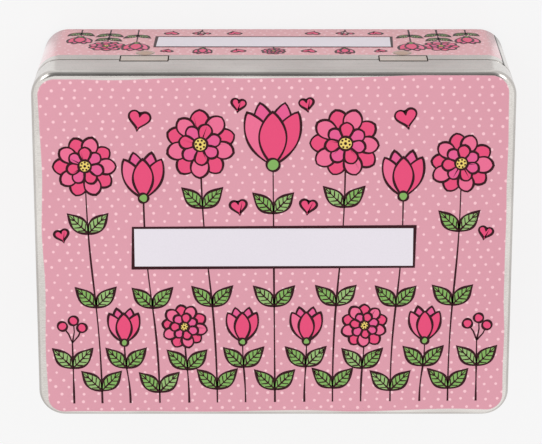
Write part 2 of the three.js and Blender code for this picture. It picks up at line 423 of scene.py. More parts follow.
def clinch_tool(x, rim_y, root):
    """A round boss whose flank runs out softly into a plane of constant y, on a root that goes inwards."""
    reach = (clinch_radius ** 2 + clinch_height ** 2) / (2 * clinch_height)
    flank_angle = math.degrees(math.asin(clinch_radius / reach))
    crown_radius = reach - clinch_fillet_radius
    centre = Vector((x, rim_y, clinch_height_above_floor))
    boss = start_vertex(centre + Vector((0, clinch_height, 0)))
    crown_centre = centre + Vector((0, clinch_height - crown_radius, 0))
    foot_centre = centre + Vector((0, clinch_fillet_radius, clinch_radius))
    steps = math.ceil(flank_angle / arc_step_angle) * 2
    for arc_centre, angle in ((crown_centre, flank_angle), (foot_centre, -flank_angle)):
        bpy.ops.mesh.spin(steps=steps, angle=-math.radians(angle), center=arc_centre, axis=(1, 0, 0))
    for way in ((0, -root, 0), (0, 0, -clinch_radius)):
        bpy.ops.mesh.extrude_vertices_move(TRANSFORM_OT_translate={"value": way})
    bpy.ops.mesh.select_all(action="SELECT")
    bpy.ops.mesh.spin(steps=clinch_steps, angle=2 * math.pi, center=centre, axis=(0, 1, 0))
    bpy.ops.mesh.select_all(action="SELECT")
    bpy.ops.mesh.remove_doubles(threshold=merge_distance)
    face_outwards(boss, Vector((0, 1, 0)))
    return boss


def press_clinch(piece, x, face_y, thickness):
    """Presses a round boss outwards into sheet whose outer face lies at a y."""
    combine(piece, clinch_tool(x, face_y, thickness / 2), "UNION")
    hollow = clinch_tool(x, face_y - thickness, cut_overrun)
    use_second_slot(hollow)
    combine(piece, hollow, "DIFFERENCE")


def unroll_round(wall):
    """Gives the wall a UV map: the way round the tin from the side seam, and the height, in metres."""
    layer = wall.data.uv_layers.new(name="unrolled")
    for face in wall.data.polygons:
        middle = way_round(face.center.x, face.center.y)
        for loop in face.loop_indices:
            corner = wall.data.vertices[wall.data.loops[loop].vertex_index].co
            way = way_round(corner.x, corner.y)
            if way - middle > girth / 2:
                way -= girth
            elif middle - way > girth / 2:
                way += girth
            layer.data[loop].uv = (way, corner.z)


quarter_bend = corner_radius * math.pi / 2
girth = 4 * (straight_x + straight_y + quarter_bend)
seam_way = 2 * straight_x + 2 * straight_y + quarter_bend + corner_radius * math.radians(seam_end_angle)


def way_round(x, y):
    """How far round the tin a point lies from the side seam, anticlockwise from above."""
    side_lengths = [2 * straight_x, 2 * straight_y]
    corners = {(1, -1): 0, (1, 1): 1, (-1, 1): 2, (-1, -1): 3}
    if abs(x) <= straight_x:
        side, along = (0, x + straight_x) if y < 0 else (2, straight_x - x)
    elif abs(y) <= straight_y:
        side, along = (1, y + straight_y) if x > 0 else (3, straight_y - y)
    else:
        side = corners[math.copysign(1, x), math.copysign(1, y)]
        turned = math.atan2(y - math.copysign(straight_y, y), x - math.copysign(straight_x, x))
        bend = (turned - (side - 1) * math.pi / 2) % (2 * math.pi)
        along = side_lengths[side % 2] + corner_radius * bend
    before = sum(side_lengths[number % 2] + quarter_bend for number in range(side))
    return (before + along - seam_way) % girth


def make_base(materials):
    """The base plate: a recessed panel with a shallow bead, folded down and round the rim of the wall."""
    panel = seam_layers * (sheet_thickness + fold_gap)
    upper_fold = fold_gap / 2
    hook_radius = (seam_layers * sheet_thickness + (seam_layers - 1) * fold_gap) / 2
    rim_end = base_seam_inset + rim_width
    fold_inset = rim_end - hook_width
    hook_inset = rim_end + fold_gap
    across, up = unit_vector(bead_angle)
    bead_width = 2 * bead_radius * up
    bead_rise = 2 * bead_radius * (1 - across)
    start = (bead_inset + bead_width, panel + bead_rise)
    steps = [
        ("arc", (bead_inset + bead_width, panel + bead_rise - bead_radius), bead_angle),
        ("arc", (bead_inset, panel + bead_radius), -bead_angle),
        ("line", (fold_inset, panel)),
        ("arc", (fold_inset, panel - upper_fold), 180),
        ("line", (hook_inset, panel - 2 * upper_fold)),
        ("arc", (hook_inset, hook_radius), -180),
        ("line", (base_seam_inset, 0)),
    ]
    base = draw_section("base_shell", start, steps, -straight_x)
    sweep_round()
    fill_panel(base, panel + bead_rise, bead_radius)
    face_outwards(base, Vector((0, 0, -1)))
    give_thickness(base, sheet_thickness)
    finish_piece(base, "body", "base_plate", materials)


def make_leaf(side, x, materials):
    """A hinge leaf: the tail inside the wall, the plate outside it and the loop round the pin."""
    tail_inset = sheet_thickness + leaf_clearance
    steps = [
        ("line", (tail_inset, sill_height + jog_start)),
        ("line", (0, sill_height + plate_gap)),
        ("line", (0, hinge_axis_height)),
        ("arc", (curl_radius, hinge_axis_height), loop_end_angle - 180),
    ]
    leaf = draw_section(f"leaf_{side}", (tail_inset, leaf_low.z), steps, x - leaf_width / 2)
    bpy.ops.mesh.select_all(action="SELECT")
    bpy.ops.mesh.extrude_region_move(TRANSFORM_OT_translate={"value": (leaf_width, 0, 0)})
    select_where(leaf, "verts", lambda vertex: abs(vertex.co.z - leaf_low.z) < merge_distance)
    bpy.ops.mesh.bevel(affect="VERTICES", offset=leaf_corner_radius, segments=leaf_corner_steps)
    bpy.ops.mesh.select_all(action="SELECT")
    bpy.ops.transform.resize(value=(1, -1, 1), center_override=(0, 0, 0))
    face_outwards(leaf, Vector((0, 1, 0)))
    give_thickness(leaf, leaf_thickness)
    soften_edges(leaf, leaf_edge_radius, leaf_edge_steps)
    press_clinch(leaf, x, half_depth - tail_inset, leaf_thickness)
    finish_piece(leaf, "body", f"hinge_leaf_{side}", materials)


def make_pin(side, x, materials):
    """A hinge pin: a short wire with broken edges, along x."""
    pin = start_from(
        bpy.ops.mesh.primitive_cylinder_add, vertices=pin_sides,
        radius=(pin_high.y - pin_low.y) / 2, depth=pin_high.x - pin_low.x,
        location=(x, hinge_axis_y, hinge_axis_height), rotation=(0, math.pi / 2, 0),
    )
    add_slots(pin)
    pin.name = f"pin_{side}"
    bpy.ops.object.transform_apply(location=True, rotation=True)
    soften_edges(pin, pin_chamfer, pin_chamfer_steps)
    finish_piece(pin, "lid", f"hinge_pin_{side}", materials)


# Artwork sizes are in millimetres on the face that carries it: x to the right, y up, seen from outside.
artwork_scale = 0.001
ink_gap = 0.000004
ink_step = 0.000008
outline_width = 0.92
vein_width = 0.6
stem_width = 0.8
curve_points = 26
wander_share = 0.22
outline_waves = (2, 3)
line_wave_turn = 9
mitre_limit_share = 1.6
mitre_least_share = 0.001


class InkSheet:
    """Closed flat shapes of ink on one face of the tin, each with its own level above the ground print."""

    def __init__(self, name, on_face, seed):
        self.name = name
        self.on_face = on_face
        self.chance = random.Random(seed)
        self.vertices = []
        self.faces = []
        self.face_inks = []

    def add_shape(self, outline, level, ink):
        """Adds one closed shape of ink that reaches up to a level."""
        if signed_area(outline) < 0:
            outline = outline[::-1]
        first = len(self.vertices)
        count = len(outline)
        for lift in (ink_gap, ink_gap + level * ink_step):
            for x, y in outline:
                self.vertices.append(self.on_face(x * artwork_scale, y * artwork_scale, lift))
        lower = [first + number for number in range(count)]
        upper = [number + count for number in lower]
        shape = [lower[::-1], upper]
        for number in range(count):
            after = (number + 1) % count
            shape.append([lower[number], lower[after], upper[after], upper[number]])
        self.faces += shape
        self.face_inks += [ink] * len(shape)

    def add_outlined(self, outline, level, ink, width=outline_width):
        """Adds a coloured shape with a dark line of uneven width round it."""
        phase = self.chance.uniform(0, 2 * math.pi)
        wave = 2 * math.pi * self.chance.choice(outline_waves) / len(outline)
        uneven = [
            width / 2 * (1 + wander_share * math.sin(phase + wave * number))
            for number in range(len(outline))
        ]
        self.add_shape(grow(outline, uneven), level, "outline")
        self.add_shape(grow(outline, [-reach for reach in uneven]), level + 1, ink)

    def add_line(self, points, level, start_width, end_width):
        """Adds a drawn dark line whose width runs from one value to the other."""
        count = len(points)
        phase = self.chance.uniform(0, 2 * math.pi)
        left, right = [], []
        for number, point in enumerate(points):
            share = number / (count - 1)
            half = (start_width + (end_width - start_width) * share) / 2
            half *= 1 + wander_share * math.sin(phase + line_wave_turn * share)
            along, up = unit_way(points[max(number - 1, 0)], points[min(number + 1, count - 1)])
            left.append((point[0] - up * half, point[1] + along * half))
            right.append((point[0] + up * half, point[1] - along * half))
        self.add_shape(left + right[::-1], level, "outline")

    def finish(self, body, inks):
        """Makes one piece of all shapes."""
        names = list(inks)
        mesh = bpy.data.meshes.new(self.name)
        mesh.from_pydata(self.vertices, [], self.faces)
        for name in names:
            mesh.materials.append(inks[name])
        mesh.polygons.foreach_set("material_index", [names.index(ink) for ink in self.face_inks])
        mesh.update()
        piece = bpy.data.objects.new(self.name, mesh)
        bpy.context.scene.collection.objects.link(piece)
        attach(piece, body)


def signed_area(outline):
    """Twice the area inside an outline, positive when it runs anticlockwise."""
    pairs = zip(outline, outline[1:] + outline[:1])
    return sum(here[0] * after[1] - after[0] * here[1] for here, after in pairs)


def grow(outline, distances):
    """Moves each point of an outline outwards by its own distance, square to the outline there."""
    outwards = 1 if signed_area(outline) > 0 else -1
    count = len(outline)
    grown = []
    for number, (x, y) in enumerate(outline):
        before = outline[number - 1]
        after = outline[(number + 1) % count]
        first = unit_way(before, (x, y))
        second = unit_way((x, y), after)
        sum_x, sum_y = first[1] + second[1], -first[0] - second[0]
        mitre = 1 + first[0] * second[0] + first[1] * second[1]
        length = math.hypot(sum_x, sum_y) or 1
        reach = min(length / max(mitre, mitre_least_share), mitre_limit_share)
        reach *= outwards * distances[number] / length
        grown.append((x + sum_x * reach, y + sum_y * reach))
    return grown


def unit_way(here, there):
    """The unit vector from one point to another."""
    length = math.dist(here, there) or 1
    return (there[0] - here[0]) / length, (there[1] - here[1]) / length


def moved(points, place, size=1.0, turn=0.0):
    """Scales and turns points about zero and sets them at a place."""
    cosine, sine = unit_vector(turn)
    return [
        (place[0] + size * (x * cosine - y * sine), place[1] + size * (x * sine + y * cosine))
        for x, y in points
    ]


def curve_through(start, start_pull, end_pull, end):
    """Points along a curve from one place to another that two further places pull on."""
    points = []
    for number in range(curve_points + 1):
        share = number / curve_points
        rest = 1 - share
        weights = (rest ** 3, 3 * rest * rest * share, 3 * rest * share * share, share ** 3)
        corners = (start, start_pull, end_pull, end)
        points.append(tuple(
            sum(weight * corner[axis] for weight, corner in zip(weights, corners)) for axis in (0, 1)
        ))
    return points


def blade_half(share, width_share, fullness, sharpness):
    """Half the width of a blade at a share of its length. Fullness moves its widest place to the tip."""
    return width_share / 2 * math.sin(math.pi * share ** fullness) ** sharpness


def blade(*form):
    """A leaf or petal of unit length along x. Its form is its width share, fullness and sharpness."""
    shares = [number / curve_points for number in range(1, curve_points)]
    edge = [(share, blade_half(share, *form)) for share in shares]
    return [(0.0, 0.0)] + [(x, -y) for x, y in edge] + [(1.0, 0.0)] + edge[::-1]


def round_shape(place, radius):
    """A circle."""
    rim = [unit_vector(360 * number / curve_points) for number in range(curve_points)]
    return moved(rim, place, radius)


# Forms of the drawn plants and labels: shares, angles, lengths, and the levels that an outlined shape takes
shape_levels = 2
leaf_form_shares = (0.5, 0.85, 1.1)
rib_length_share = 0.9
vein_pairs = 4
vein_start_share = 0.16
vein_pitch_share = 0.17
vein_reach_share = 0.15
vein_knee_share = 0.05
vein_knee_rise_share = 0.4
vein_end_share = 0.8
vein_taper_share = 0.7
daisy_rings = (
    (10, 1.0, (0.52, 1.9, 0.62), ("hot_pink", "rose")),
    (7, 0.62, (0.62, 1.9, 0.62), ("magenta", "hot_pink")),
)
daisy_length_shares = (0.94, 1.03)
daisy_petal_slip = 3
daisy_pitch = 36
daisy_heart_share = 0.2
daisy_seeds = 7
seed_ring_share = 0.62
seed_share = 0.16
middle_seed_share = 0.22
tulip_petals = (
    (11, 1.0, (0.4, 1.05, 0.75), "magenta"),
    (-11, 1.0, (0.4, 1.05, 0.75), "magenta"),
    (25, 0.92, (0.42, 1.05, 0.75), "rose"),
    (-25, 0.92, (0.42, 1.05, 0.75), "hot_pink"),
    (0, 0.84, (0.5, 1.05, 0.75), "hot_pink"),
)
tulip_foot_share = 0.1
heart_width_share = 16 / 32
heart_wave_shares = (13 / 32, -5 / 32, -2 / 32, -1 / 32)
berry_twigs = ((28, 0.85), (-4, 1.0), (-32, 0.8))
twig_bend = 0.6
berry_share = 0.2
label_slip = 0.35
label_frame_width = 1.15


def draw_leaf(sheet, place, length, turn, level):
    """A leaf with a midrib and pairs of side veins."""
    ink = sheet.chance.choice(("leaf", "leaf", "pale_leaf"))
    sheet.add_outlined(moved(blade(*leaf_form_shares), place, length, turn), level, ink)
    level += shape_levels
    rib = [(rib_length_share * number / curve_points, 0.0) for number in range(curve_points + 1)]
    sheet.add_line(moved(rib, place, length, turn), level, stem_width, vein_width / 2)
    for pair in range(vein_pairs):
        foot = vein_start_share + vein_pitch_share * pair
        tip = foot + vein_reach_share
        for side in (-1, 1):
            end = side * vein_end_share * blade_half(tip, *leaf_form_shares)
            vein = [(foot, 0.0), (foot + vein_knee_share, end * vein_knee_rise_share), (tip, end)]
            vein = moved(vein, place, length, turn)
            sheet.add_line(vein, level + 1, vein_width, vein_width * vein_taper_share)


def draw_daisy(sheet, place, radius, turn, level):
    """A double daisy: a ring of long petals, a ring of short ones and a seeded centre."""
    for count, length_share, form, colours in daisy_rings:
        for number in range(count):
            odd = number % 2
            angle = turn + 360 * number / count + sheet.chance.uniform(-daisy_petal_slip, daisy_petal_slip)
            reach = radius * length_share * sheet.chance.uniform(*daisy_length_shares)
            closes_odd_ring = count % 2 and number == count - 1
            rise = shape_levels * (2 if closes_odd_ring else odd)
            sheet.add_outlined(moved(blade(*form), place, reach, angle), level + rise, colours[odd])
        level += 3 * shape_levels
    heart_radius = radius * daisy_heart_share
    sheet.add_outlined(round_shape(place, heart_radius), level, "yolk")
    level += shape_levels
    seeds = [unit_vector(360 * number / daisy_seeds) for number in range(daisy_seeds)]
    for seed in moved(seeds, place, heart_radius * seed_ring_share, turn):
        sheet.add_shape(round_shape(seed, heart_radius * seed_share), level, "outline")
    sheet.add_shape(round_shape(place, heart_radius * middle_seed_share), level, "outline")


def draw_tulip(sheet, place, height, turn, level):
    """A tulip: two petals behind, two at the sides and one in front."""
    for lean, length_share, form, ink in tulip_petals:
        petal = moved(blade(*form), place, height * length_share, turn + lean)
        sheet.add_outlined(petal, level, ink)
        level += shape_levels
    sheet.add_outlined(round_shape(place, height * tulip_foot_share), level, "leaf")


def draw_heart(sheet, place, size, turn, level):
    """A small heart."""
    points = []
    for number in range(2 * curve_points):
        angle = math.pi * number / curve_points
        waves = enumerate(heart_wave_shares, start=1)
        y = sum(share * math.cos(count * angle) for count, share in waves)
        points.append((heart_width_share * math.sin(angle) ** 3, y))
    sheet.add_outlined(moved(points, place, size, turn), level, "hot_pink")


def draw_berries(sheet, start, turn, length, level):
    """A twig with three berries."""
    for number, (lean, share) in enumerate(berry_twigs):
        across, up = unit_vector(turn + lean)
        end = (start[0] + across * length * share, start[1] + up * length * share)
        middle = ((start[0] + end[0]) / 2 + up * twig_bend, (start[1] + end[1]) / 2 - across * twig_bend)
        sheet.add_line([start, middle, end], level, stem_width * stem_taper_share, vein_width)
        berry = round_shape(end, length * berry_share)
        sheet.add_outlined(berry, level + 1 + shape_levels * number, "hot_pink")


def draw_label(sheet, place, size, level):
    """A blank white label with a dark frame that is drawn by hand, a little out of square."""
    x, y = size[0] / 2, size[1] / 2
    corners = [(-x, label_slip - y), (x - label_slip, -y), (x, y - label_slip), (label_slip - x, y)]
    sheet.add_outlined(moved(corners, place), level, "label", label_frame_width)


def mirrored(side, *places):
    """The same places on the right side or, turned over, on the left."""
    return [(side * x, y) for x, y in places]


def draw_plant(sheet, foot, head, kind, size, leaf_shares, leaf_length):
    """A plant that stands upright from its foot to its head, with pairs of leaves at shares of its stem."""
    middle = (foot[1] + head[1]) / 2
    stem = curve_through(foot, (foot[0], middle), (head[0], middle), head)
    sheet.add_line(stem, stem_level, stem_width, stem_width * stem_taper_share)
    for share in leaf_shares:
        joint = stem[round(share * curve_points)]
        for lean in (leaf_lean, -leaf_lean):
            draw_leaf(sheet, joint, leaf_length, upright + lean, leaf_level)
    if kind == "daisy":
        draw_daisy(sheet, head, size, sheet.chance.uniform(0, daisy_pitch), head_level)
    elif kind == "tulip":
        draw_tulip(sheet, head, size, upright, head_level)
    else:
        draw_berries(sheet, head, upright, size, leaf_level)


def draw_bed(sheet, plants, hearts, leaf_length):
    """A bed of upright plants with hearts between them, the same to both sides of the middle."""
    for side in (1, -1):
        for foot, head, kind, size, leaf_shares in plants:
            if side > 0 or head[0] > 0:
                foot, head = mirrored(side, foot, head)
                draw_plant(sheet, foot, head, kind, size, leaf_shares, leaf_length)
        for place, size, turn in hearts:
            draw_heart(sheet, *mirrored(side, place), size, side * turn, head_level)


# Levels of the inks, the lowest first, and the way that stems and leaves grow
stem_level = 1
leaf_level = 2
head_level = 6
label_level = 14
stem_taper_share = 0.8
upright = 90
leaf_lean = 44

# Plants on the right half of each face, and those in its middle: foot, head, kind, size, and the
# shares of the stem at which leaves grow. Hearts: place, size and turn.
lid_label = ((0.0, 0.0), (118.0, 18.0))
lid_leaf_length = 12
lid_plants = [
    ((0, -69.5), (0, 36), "tulip", 27, (0.04, 0.385, 0.86)),
    ((24.5, -69.5), (30, 45), "daisy", 14.5, (0.04, 0.345, 0.82)),
    ((49, -69.5), (54, 22), "tulip", 20, (0.04, 0.465)),
    ((73.5, -69.5), (78, 36), "daisy", 13, (0.04, 0.385, 0.78)),
    ((12.5, -69.5), (13.5, -42), "tulip", 15.5, (0.62,)),
    ((36.5, -69.5), (38, -35), "daisy", 9.8, (0.42,)),
    ((61.5, -69.5), (63.5, -42), "tulip", 15.5, (0.62,)),
    ((85.5, -69.5), (85.5, -42), "berries", 10, (0.62,)),
]
lid_hearts = [((14.5, 18), 7, -8), ((55, 56), 9, 12), ((88.5, 6), 6, -14), ((14, 62), 6, 10)]
wall_label = ((0.0, 24.5), (101.0, 18.0))
wall_leaf_length = 8
long_wall_plants = [
    ((0, 33.5), (0, 40.5), "daisy", 5, ()),
    ((30, 33.5), (30, 36), "tulip", 9, ()),
    ((31, 2.5), (31, 5), "berries", 6, ()),
    ((58.5, 3), (58.5, 27), "tulip", 13, (0.35,)),
    ((70.5, 3), (71, 32), "daisy", 7.8, (0.2, 0.5)),
    ((83, 3), (83, 16), "tulip", 12, (0.4,)),
]
long_wall_hearts = [((17, 9), 6, 10), ((44, 9), 6, -8), ((15, 40), 6, 12), ((45, 40), 5, -10)]
short_wall_plants = [
    ((0, 3), (0, 29), "daisy", 13, (0.2,)),
    ((22, 3), (22, 20), "tulip", 16, (0.35,)),
    ((41, 3), (41, 31), "daisy", 9.5, (0.2, 0.5)),
    ((58, 3), (57, 12), "tulip", 14, (0.4,)),
]
short_wall_hearts = [((22, 42), 6, 10), ((57, 38), 7, -12), ((31, 11), 5, 8)]


def draw_lid_artwork(inks):
    """The lid: a blank label before a bed of tall and short plants."""
    across, up = unit_vector(print_turn)

    def on_face(x, y, lift):
        return (x * across - y * up, x * up + y * across, lid_top + lift)
    sheet = InkSheet("lid_artwork", on_face, seed=7)
    draw_label(sheet, *lid_label, label_level)
    draw_bed(sheet, lid_plants, lid_hearts, lid_leaf_length)
    sheet.finish("lid", inks)


def draw_long_wall(name, sign, inks, seed):
    """A long wall: a blank label in the middle and a bed of plants at both ends."""
    def on_face(x, y, lift):
        return (-sign * x, sign * (half_depth + lift), y)
    sheet = InkSheet(name, on_face, seed)
    draw_label(sheet, *wall_label, label_level)
    draw_bed(sheet, long_wall_plants, long_wall_hearts, wall_leaf_length)
    sheet.finish("body", inks)


def draw_short_wall(name, sign, inks, seed):
    """A short wall: a bed of plants along all of it."""
    def on_face(x, y, lift):
        return (sign * (half_width + lift), sign * x, y)
    sheet = InkSheet(name, on_face, seed)
    draw_bed(sheet, short_wall_plants, short_wall_hearts, wall_leaf_length)
    sheet.finish("body", inks)


# Print sizes, in metres, and the angle in degrees at which the print sits askew on the lid
dot_spacing = 0.0048
dot_group_spacing = 0.0156
dot_row_pitch = 0.00335
dot_row_shifts = (0.0, 0.00415, 0.001, 0.00316)
dot_radius = 0.0005
dot_blur = 0.00018
dot_wander = 0.0006
margin_left = 0.0037
margin_right = 0.0033
margin_rear = 0.003
margin_front = 0.0023
print_turn = 0.45
print_corner_radius = 0.0068
print_wave = 0.003
print_wave_scale = 24
print_blur = 0.00022
wall_print_low = 0.0015
wall_print_high = 0.047
wall_print_wave = 0.0016
seam_strip_width = corner_radius * math.radians(seam_end_angle - seam_start_angle)
clinch_bare_radius = 0.0041
clinch_ring_width = 0.0005
ring_shade_share = 0.6
groove_shade_reach = 0.0009
low_wave_share = 0.3
dots_to_each_side = 1
row_match_share = 0.1
middle_share = 0.5

# Grain of metal and ink: noise scales for each metre, details of the noise, roughness and shares
line_scales = (30, 2200, 2200)
rub_scales = (900, 70, 300)
cloud_scale = 38
wave_scale = 14
ink_cloud_scale = 16
ink_grain_scale = 1500
fine_detail = 3
rub_detail = 4
wave_detail = 1
rub_none_share = 0.62
rub_full_share = 0.7
rub_dark_share = 0.25
plate_dark_share = 0.3
plate_light_share = 0.7
plate_roughness = 0.1
line_roughness = 0.06
cloud_roughness = 0.12
rub_roughness = 0.06
line_height_share = 0.012
ink_strength = 0.91
ink_grain_share = 0.08
ink_cloud_share = 0.1
ink_roughness = 0.3
grain_roughness = 0.1
grain_height_share = 0.004
coat_roughness = 0.14
varnish_gloss_share = 0.2
ink_gloss_share = 0.12
glare_start_share = 0.768
glare_full_share = 0.82
bump_distance = 0.0001

# Painted shade in narrow gaps, and painted shade under the lid
gap_shade_reach = 0.0025
gap_shade_samples = 8
gap_shade_full_share = 0.6
gap_shade_none_share = 0.95
painted_shade_colour = linear(74, 68, 62)
loop_shade_height = 0.0561
shade_blur = 0.0001

# Colours, by their screen values
lid_pink = linear(221, 152, 168)
wall_pink = linear(232, 152, 161)
dot_white = linear(252, 200, 209)
metal_light = linear(226, 222, 217)
metal_dark = linear(198, 192, 187)
inner_metal_light = linear(214, 210, 203)
inner_metal_dark = linear(178, 173, 166)
hinge_metal_light = linear(236, 225, 213)
hinge_metal_dark = linear(204, 193, 180)
clinch_metal = linear(212, 184, 168)
ink_colours = {
    "outline": linear(48, 6, 16),
    "hot_pink": linear(234, 79, 124),
    "magenta": linear(232, 94, 148),
    "rose": linear(238, 112, 150),
    "leaf": linear(132, 178, 96),
    "pale_leaf": linear(152, 188, 118),
    "yolk": linear(240, 212, 112),
    "label": linear(232, 226, 234),
}


class NodeSheet:
    """A node tree in the making, with short ways to add nodes and join them."""

    def __init__(self, tree):
        self.tree = tree

    def add(self, kind, inputs=None, **settings):
        """Adds a node with its settings. An input is a value or the output of another node."""
        node = self.tree.nodes.new(f"ShaderNode{kind}")
        for name, value in settings.items():
            setattr(node, name, value)
        for name, value in (inputs or {}).items():
            self.feed(node.inputs[name], value)
        return node

    def feed(self, socket, value):
        """Gives an input a value or joins it to an output."""
        if isinstance(value, bpy.types.NodeSocket):
            self.tree.links.new(value, socket)
        else:
            socket.default_value = value

    def math(self, operation, *values):
        """The result of a sum on values and outputs."""
        return self.add("Math", dict(enumerate(values)), operation=operation).outputs[0]

    def less(self, value, taken):
        """A value with another taken from it."""
        return self.math("SUBTRACT", value, taken)

    def times(self, product, *values):
        """The product of all values."""
        for value in values:
            product = self.math("MULTIPLY", product, value)
        return product

    def plus(self, total, *layers):
        """A value with others added to it, each times its share."""
        for value, share in layers:
            total = self.math("MULTIPLY_ADD", value, share, total)
        return total

    def length(self, x, y):
        """The length of a vector with two parts."""
        return self.math("SQRT", self.math("ADD", self.times(x, x), self.times(y, y)))

    def soft_step(self, value, low, high):
        """Runs softly from 0 at the low value to 1 at the high one."""
        inputs = {"Value": value, "From Min": low, "From Max": high}
        return self.add("MapRange", inputs, interpolation_type="SMOOTHSTEP").outputs[0]

    def below(self, value, edge, blur):
        """Is 1 below an edge and 0 above it, with a soft change. A negative blur turns it over."""
        return self.soft_step(value, edge + blur, edge - blur)

    def between(self, share, first, second):
        """A number that runs from the first to the second with a share."""
        inputs = {"Value": share, "To Min": first, "To Max": second}
        return self.add("MapRange", inputs).outputs[0]

    def mix(self, share, first, second):
        """A colour that runs from the first to the second with a share."""
        return self.add("Mix", {0: share, 6: first, 7: second}, data_type="RGBA").outputs[2]

    def noise(self, vector, scale, detail=2.0):
        """Soft noise round a half."""
        return self.add("TexNoise", {"Vector": vector, "Scale": scale, "Detail": detail}).outputs[0]

    def stretched(self, vector, scales):
        """A vector with each part scaled by its own number."""
        return self.add("Mapping", {"Vector": vector, "Scale": scales}).outputs[0]

    def parts(self, vector):
        """The three parts of a vector."""
        return self.add("SeparateXYZ", {"Vector": vector}).outputs

    def joined(self, x, y, z=0.0):
        """A vector from its three parts."""
        return self.add("CombineXYZ", {"X": x, "Y": y, "Z": z}).outputs[0]

    def group(self, group, inputs):
        """The outputs of a node group whose inputs are fed."""
        return self.add("Group", inputs, node_tree=group).outputs


def blank_sheet(owner):
    """Clears the node tree of a material or world and gives it as a sheet."""
    owner.use_nodes = True
    owner.node_tree.nodes.clear()
    return NodeSheet(owner.node_tree)


def new_group(name, **inputs):
    """Starts a node group with inputs of the named kinds, and gives its sheet and these inputs."""
    group = bpy.data.node_groups.new(name, "ShaderNodeTree")
    for label, kind in inputs.items():
        group.interface.new_socket(label, in_out="INPUT", socket_type=f"NodeSocket{kind}")
    return NodeSheet(group), group.nodes.new("NodeGroupInput").outputs


def finish_group(sheet, outputs):
    """Gives a node group its outputs."""
    for label, value in outputs.items():
        kind = "NodeSocketColor" if label == "Colour" else "NodeSocketFloat"
        sheet.tree.interface.new_socket(label, in_out="OUTPUT", socket_type=kind)
    result = sheet.tree.nodes.new("NodeGroupOutput").inputs
    for label, value in outputs.items():
        sheet.feed(result[label], value)
    return sheet.tree


def make_tinplate_group():
    """Rolled tinplate: fine lines along x, soft clouds, a few rub marks and a slight waviness."""
    sheet, given = new_group("rolled_tinplate", Vector="Vector", Light="Color", Dark="Color")
    vector = given["Vector"]
    line = sheet.noise(sheet.stretched(vector, line_scales), 1.0, fine_detail)
    cloud = sheet.noise(vector, cloud_scale, fine_detail)
    rub = sheet.noise(sheet.stretched(vector, rub_scales), 1.0, rub_detail)
    rub = sheet.soft_step(rub, rub_none_share, rub_full_share)
    share = sheet.plus(sheet.times(cloud, middle_share), (line, middle_share))
    share = sheet.soft_step(share, plate_dark_share, plate_light_share)
    colour = sheet.mix(share, given["Dark"], given["Light"])
    roughness = ((line, line_roughness), (cloud, cloud_roughness), (rub, rub_roughness))
    return finish_group(sheet, {
        "Colour": sheet.mix(sheet.times(rub, rub_dark_share), colour, given["Dark"]),
        "Roughness": sheet.plus(plate_roughness, *roughness),
        "Height": sheet.plus(sheet.noise(vector, wave_scale, 0.0), (line, line_height_share)),
    })


def make_dots_group():
    """Printed dots in groups of three along x, each slightly off. The rows repeat their shifts."""
    sheet, given = new_group("printed_dots", Vector="Vector")
    x, y, _ = sheet.parts(given["Vector"])
    row = sheet.math("FLOOR", sheet.math("DIVIDE", y, dot_row_pitch))
    in_repeat = sheet.math("FLOORED_MODULO", sheet.times(row, -1), len(dot_row_shifts))
    for number, shift in enumerate(dot_row_shifts):
        is_row = sheet.math("COMPARE", in_repeat, number, row_match_share)
        x = sheet.less(x, sheet.times(is_row, shift))
    dot_group = sheet.math("FLOOR", sheet.math("DIVIDE", x, dot_group_spacing))
    from_middle = sheet.less(x, sheet.times(dot_group, dot_group_spacing))
    from_middle = sheet.less(from_middle, dot_group_spacing / 2)
    place = sheet.math("ROUND", sheet.math("DIVIDE", from_middle, dot_spacing))
    place = sheet.math("MAXIMUM", sheet.math("MINIMUM", place, dots_to_each_side), -dots_to_each_side)
    dot_number = sheet.plus(place, (dot_group, 1 + 2 * dots_to_each_side))
    chance = sheet.add("TexWhiteNoise", {"Vector": sheet.joined(dot_number, row)}, noise_dimensions="2D")
    slip_x, slip_y, swell = sheet.parts(chance.outputs[1])
    across = sheet.less(from_middle, sheet.times(place, dot_spacing))
    across = sheet.plus(across, (sheet.less(slip_x, middle_share), dot_wander))
    up = sheet.less(y, sheet.times(sheet.math("ADD", row, middle_share), dot_row_pitch))
    up = sheet.plus(up, (sheet.less(slip_y, middle_share), dot_wander))
    distance = sheet.plus(sheet.length(across, up), (swell, -dot_blur))
    return finish_group(sheet, {"Mask": sheet.below(distance, dot_radius, dot_blur)})


def make_border_group():
    """The printed field of the lid: a rectangle with round corners and wavy edges on its upper side."""
    sheet, given = new_group("lid_print_field", Vector="Vector")
    x, y, z = sheet.parts(given["Vector"])
    reach_x = half_width - (margin_left + margin_right) / 2 - print_corner_radius
    reach_y = half_depth - (margin_rear + margin_front) / 2 - print_corner_radius
    x = sheet.less(x, (margin_left - margin_right) / 2)
    y = sheet.less(y, (margin_front - margin_rear) / 2)
    beyond_x = sheet.less(sheet.math("ABSOLUTE", x), reach_x)
    beyond_y = sheet.less(sheet.math("ABSOLUTE", y), reach_y)
    corner = sheet.length(sheet.math("MAXIMUM", beyond_x, 0.0), sheet.math("MAXIMUM", beyond_y, 0.0))
    inside = sheet.math("MINIMUM", sheet.math("MAXIMUM", beyond_x, beyond_y), 0.0)
    wave = sheet.less(sheet.noise(given["Vector"], print_wave_scale, wave_detail), middle_share)
    distance = sheet.plus(sheet.math("ADD", corner, inside), (wave, print_wave))
    field = sheet.below(distance, print_corner_radius, print_blur)
    upper = sheet.math("GREATER_THAN", z, lid_top - lid_edge_radius)
    return finish_group(sheet, {"Mask": sheet.times(field, upper)})


